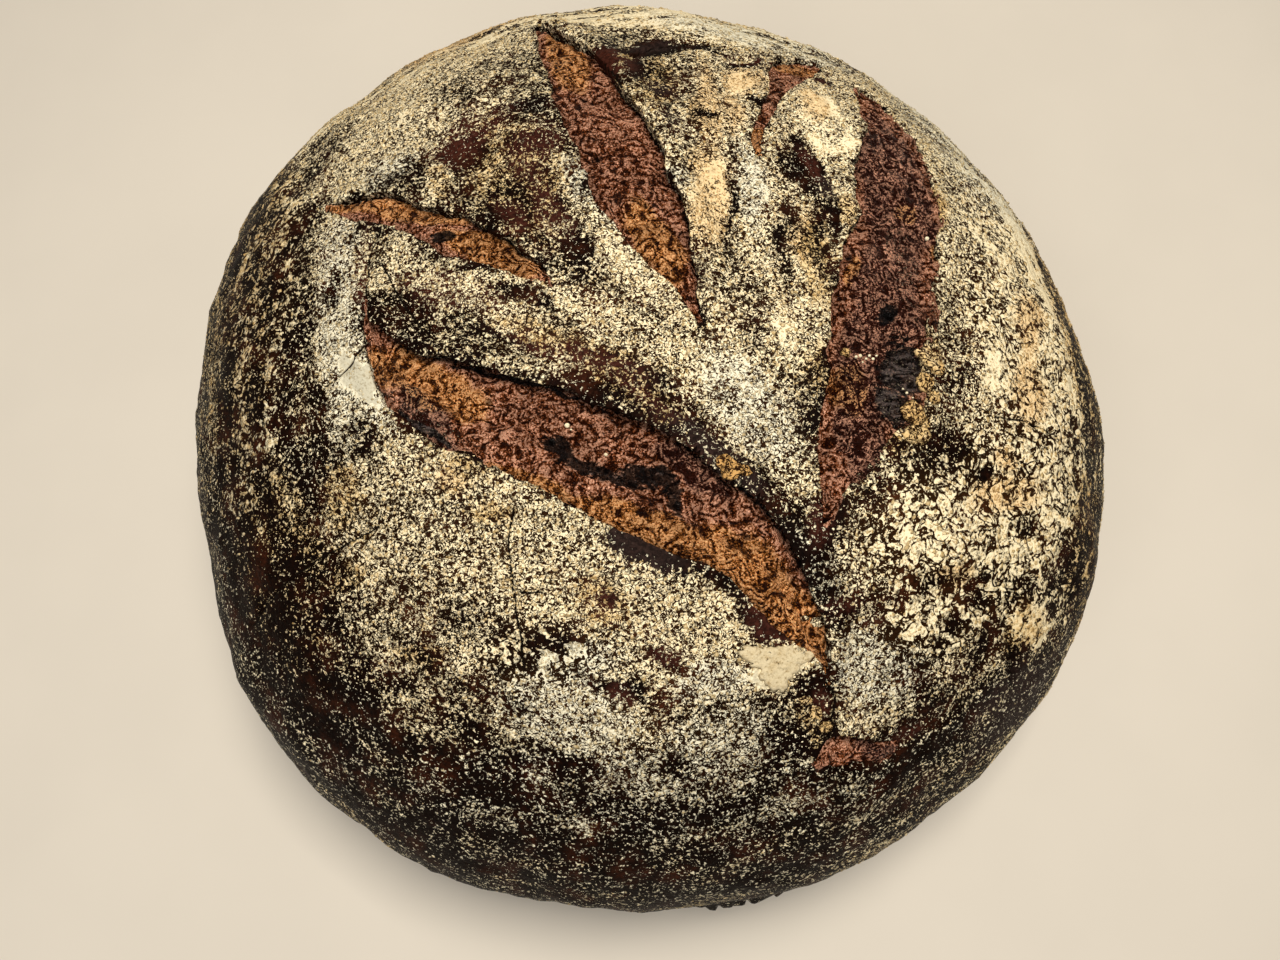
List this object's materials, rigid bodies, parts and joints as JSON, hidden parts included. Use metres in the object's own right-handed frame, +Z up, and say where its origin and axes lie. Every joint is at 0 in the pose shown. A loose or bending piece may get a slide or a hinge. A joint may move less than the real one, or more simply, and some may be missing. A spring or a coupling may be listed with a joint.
{
  "type": "sourdough loaf",
  "caption": "Round uncut sourdough loaf with a domed floured crust, a flat baked foot and deep scores burst open across its crown.",
  "frame": {"origin": "on the resting surface, under the middle of the loaf's outline", "axes": "+Z up through the crown; -Y towards the lower right end of the long front score; +X across the loaf to the crescent score's side"},
  "size_m": [0.2349, 0.2398, 0.1064],
  "materials": {
    "crust": "dark baked crust, dry and matt, dusted with cream flour",
    "score_dough": "red-brown burst dough inside the scores, fine wrinkled skin with a soft gloss",
    "flour": "dry caked flour, cream to peach, fully matt"
  },
  "bodies": {
    "root": {"loaf": "crust"}
  },
  "joints": []
}
